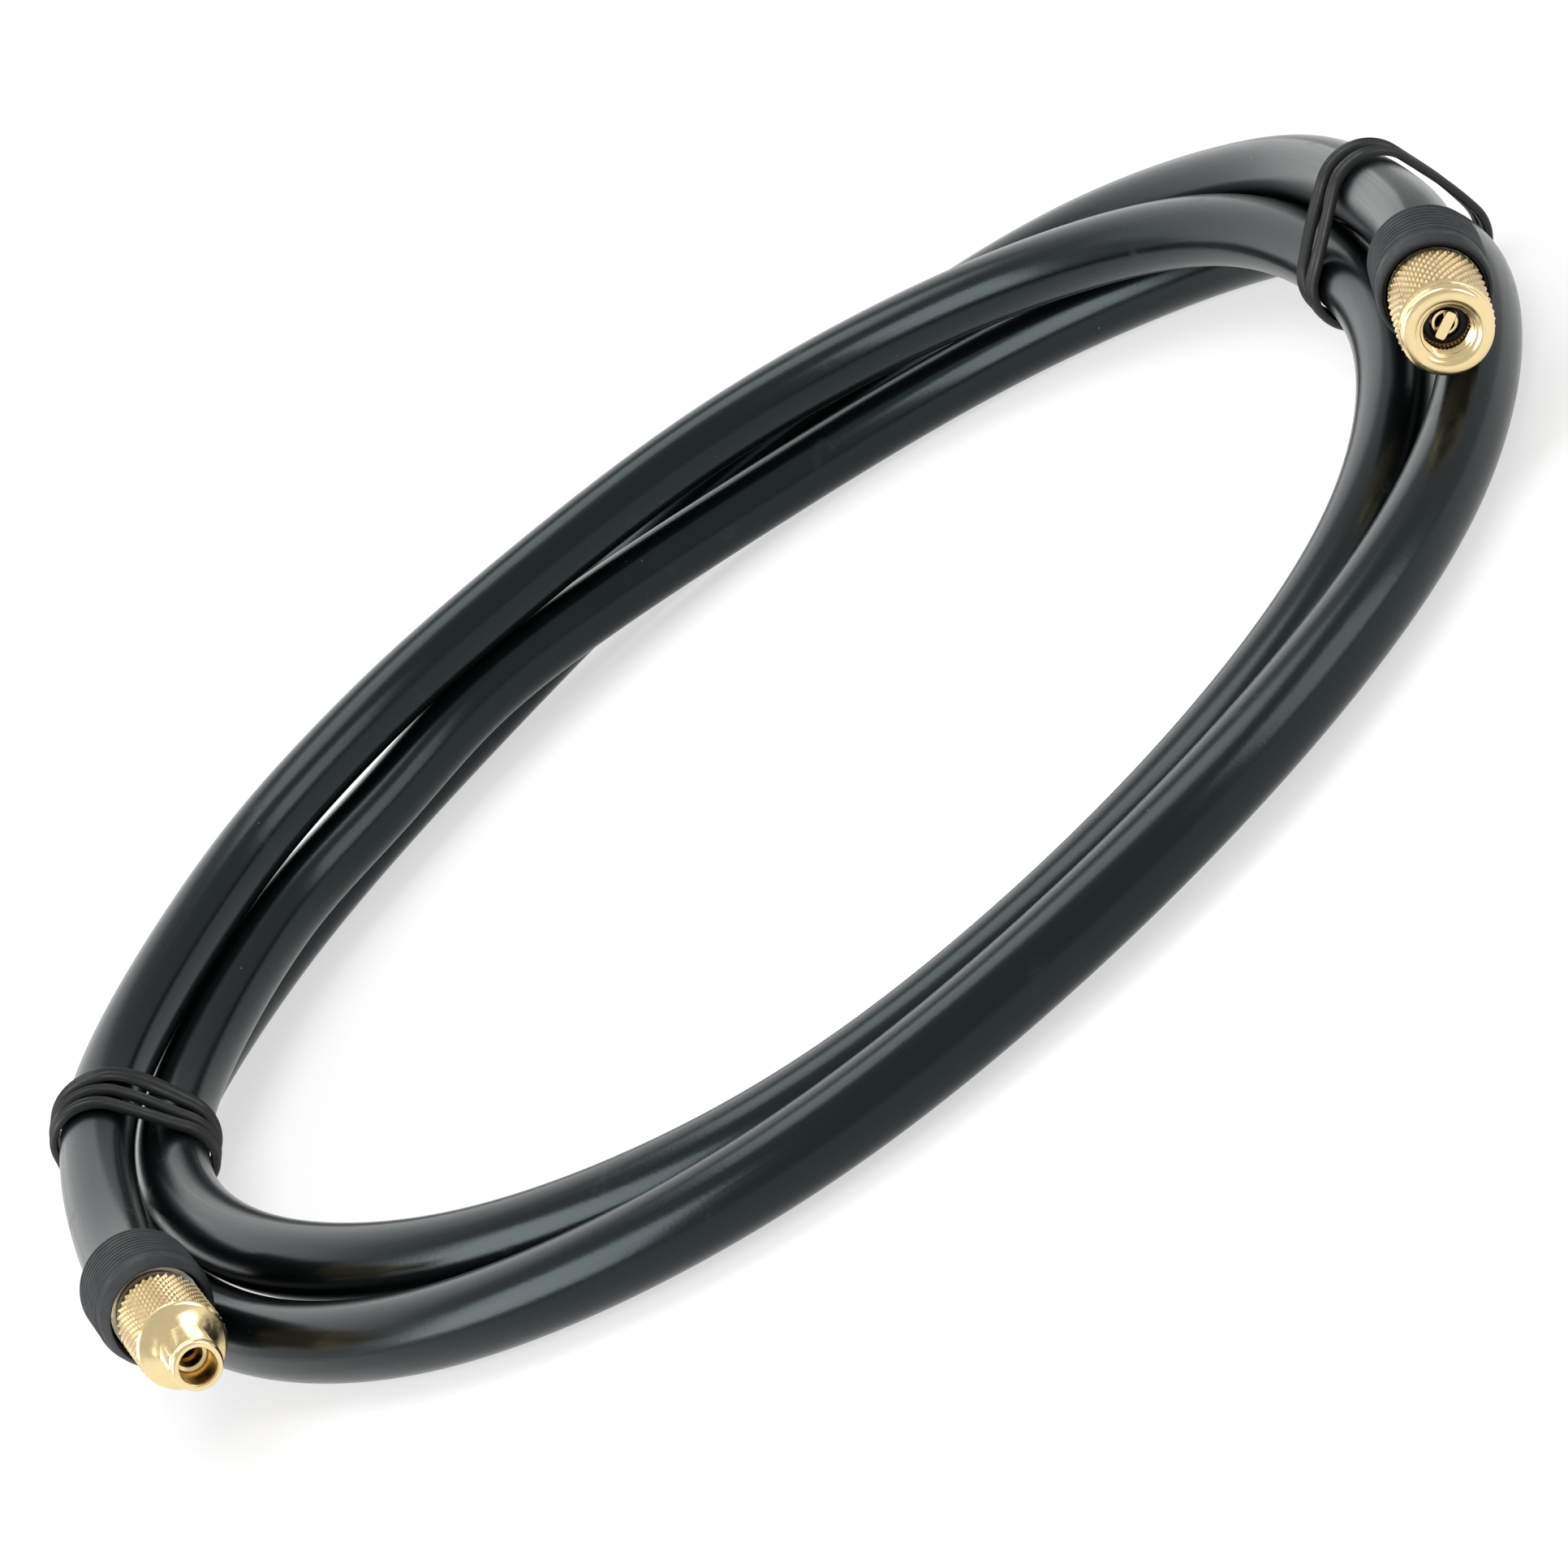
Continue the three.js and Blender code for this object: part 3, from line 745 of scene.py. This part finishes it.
# The left band's three turns fan out over the top of the bundle and draw together under it.
LEFT_KNOTS = [
    (0.40, 5.0, 0.0, 2.6), (0.62, 4.0, 0.0, 2.8), (0.75, 7.0, 0.0, 2.9), (0.87, 6.4, 0.0, 2.9),
    (1.00, 7.0, 0.0, 2.9), (1.12, 6.0, 0.0, 2.8), (1.25, 6.5, 0.0, 2.5), (1.50, 3.0, 0.0, 2.4),
    (1.62, 1.5, 0.3, 2.4), (1.75, 3.0, 0.3, 2.4), (1.87, 0.8, 0.0, 2.4), (2.00, 4.0, 0.1, 2.4),
    (2.12, 3.6, 0.4, 2.4), (2.25, 4.0, 0.4, 2.4), (2.50, 0.0, 0.0, 2.4), (2.62, -2.2, 0.4, 3.0),
    (2.75, -4.3, 0.1, 4.0), (2.87, -5.4, 0.0, 4.6), (3.00, 0.2, 0.1, 4.0), (3.12, 1.2, 0.6, 2.8),
    (3.25, 1.6, 0.6, 2.5), (3.40, 1.4, 0.5, 2.4),
]
# The right band's two turns part on top of the bundle and stand a little off its outer side.
RIGHT_KNOTS = [
    (0.45, 1.0, 0.0, 2.4), (0.62, 2.0, 0.0, 4.0), (0.75, 2.4, 0.0, 4.0), (0.87, 4.2, 0.0, 3.6),
    (1.00, 3.3, 0.1, 3.4), (1.12, 2.6, 0.8, 3.4), (1.20, 2.2, 1.5, 3.4), (1.30, 1.6, 1.2, 3.2),
    (1.40, 0.8, 0.3, 2.8), (1.50, 0.0, 0.0, 2.8), (1.62, -2.2, 0.2, 4.0), (1.75, -2.6, 0.2, 4.0),
    (1.87, -3.6, 0.0, 3.6), (2.00, -3.7, 0.0, 3.4), (2.10, -2.4, 0.3, 3.4), (2.20, -2.0, 1.2, 3.4),
    (2.30, -1.8, 1.1, 3.2), (2.40, -1.4, 0.2, 2.6), (2.55, -2.0, 0.0, 2.4),
]
tie("left_band", "left_tie", 182, LEFT_KNOTS)
tie("right_band", "right_tie", 9, RIGHT_KNOTS)

# ---------------------------------------------------------------- studio

FLOOR_SIZE = 6.0


def studio_floor():
    """A plain pale floor that glows a little, like a light table, so that shadows stay faint."""
    points = [(x, y, 0.0) for x, y in ((-1, -1), (1, -1), (1, 1), (-1, 1))]
    s = Shader("studio_white")
    tone = s.mix(s.noise(s.where("Object"), 3.0), grey(0.335), grey(0.345))
    s.set(Base_Color=tone, Roughness=0.9, Specular_IOR_Level=0.0)
    s.set(Emission_Color=(1.0, 1.0, 1.0, 1.0), Emission_Strength=0.61)
    data = bpy.data.meshes.new("studio_floor")
    data.from_pydata([Vector(p) * FLOOR_SIZE for p in points], [], [(0, 1, 2, 3)])
    data.materials.append(s.material)
    floor = bpy.data.objects.new("studio_floor", data)
    bpy.context.scene.collection.objects.link(floor)


def panel(name, place, size, radiance, facing):
    """A soft rectangular light, width by height, of even radiance, that faces a point."""
    data = bpy.data.lights.new(name, "AREA")
    data.shape = "RECTANGLE"
    data.size, data.size_y = size
    data.energy = radiance * math.pi * size[0] * size[1]
    light = bpy.data.objects.new(name, data)
    bpy.context.scene.collection.objects.link(light)
    light.location = place
    light.rotation_euler = (Vector(facing) - Vector(place)).to_track_quat("-Z", "Y").to_euler()
    light.visible_camera = False


def studio_lights():
    """A wide soft box overhead, one at each side, a lit backdrop and a pale room."""
    part = (0.0, 0.0, 0.0)
    panel("ceiling_box", (0.13, 0.39, 1.6), (1.72, 0.88), 3.7, (0.13, 0.39, 0.0))
    panel("left_box", (-1.42, -0.72, 0.85), (1.15, 1.15), 5.6, part)
    panel("right_box", (1.61, -0.45, 0.67), (0.95, 1.0), 3.4, part)
    panel("backdrop", (-1.32, 2.12, 1.1), (4.0, 2.2), 0.95, part)
    world = bpy.data.worlds.new("studio")
    world.use_nodes = True
    world.node_tree.nodes["Background"].inputs["Color"].default_value = grey(0.68)
    bpy.context.scene.world = world


studio_floor()
studio_lights()
bpy.context.scene.view_settings.view_transform = "Standard"
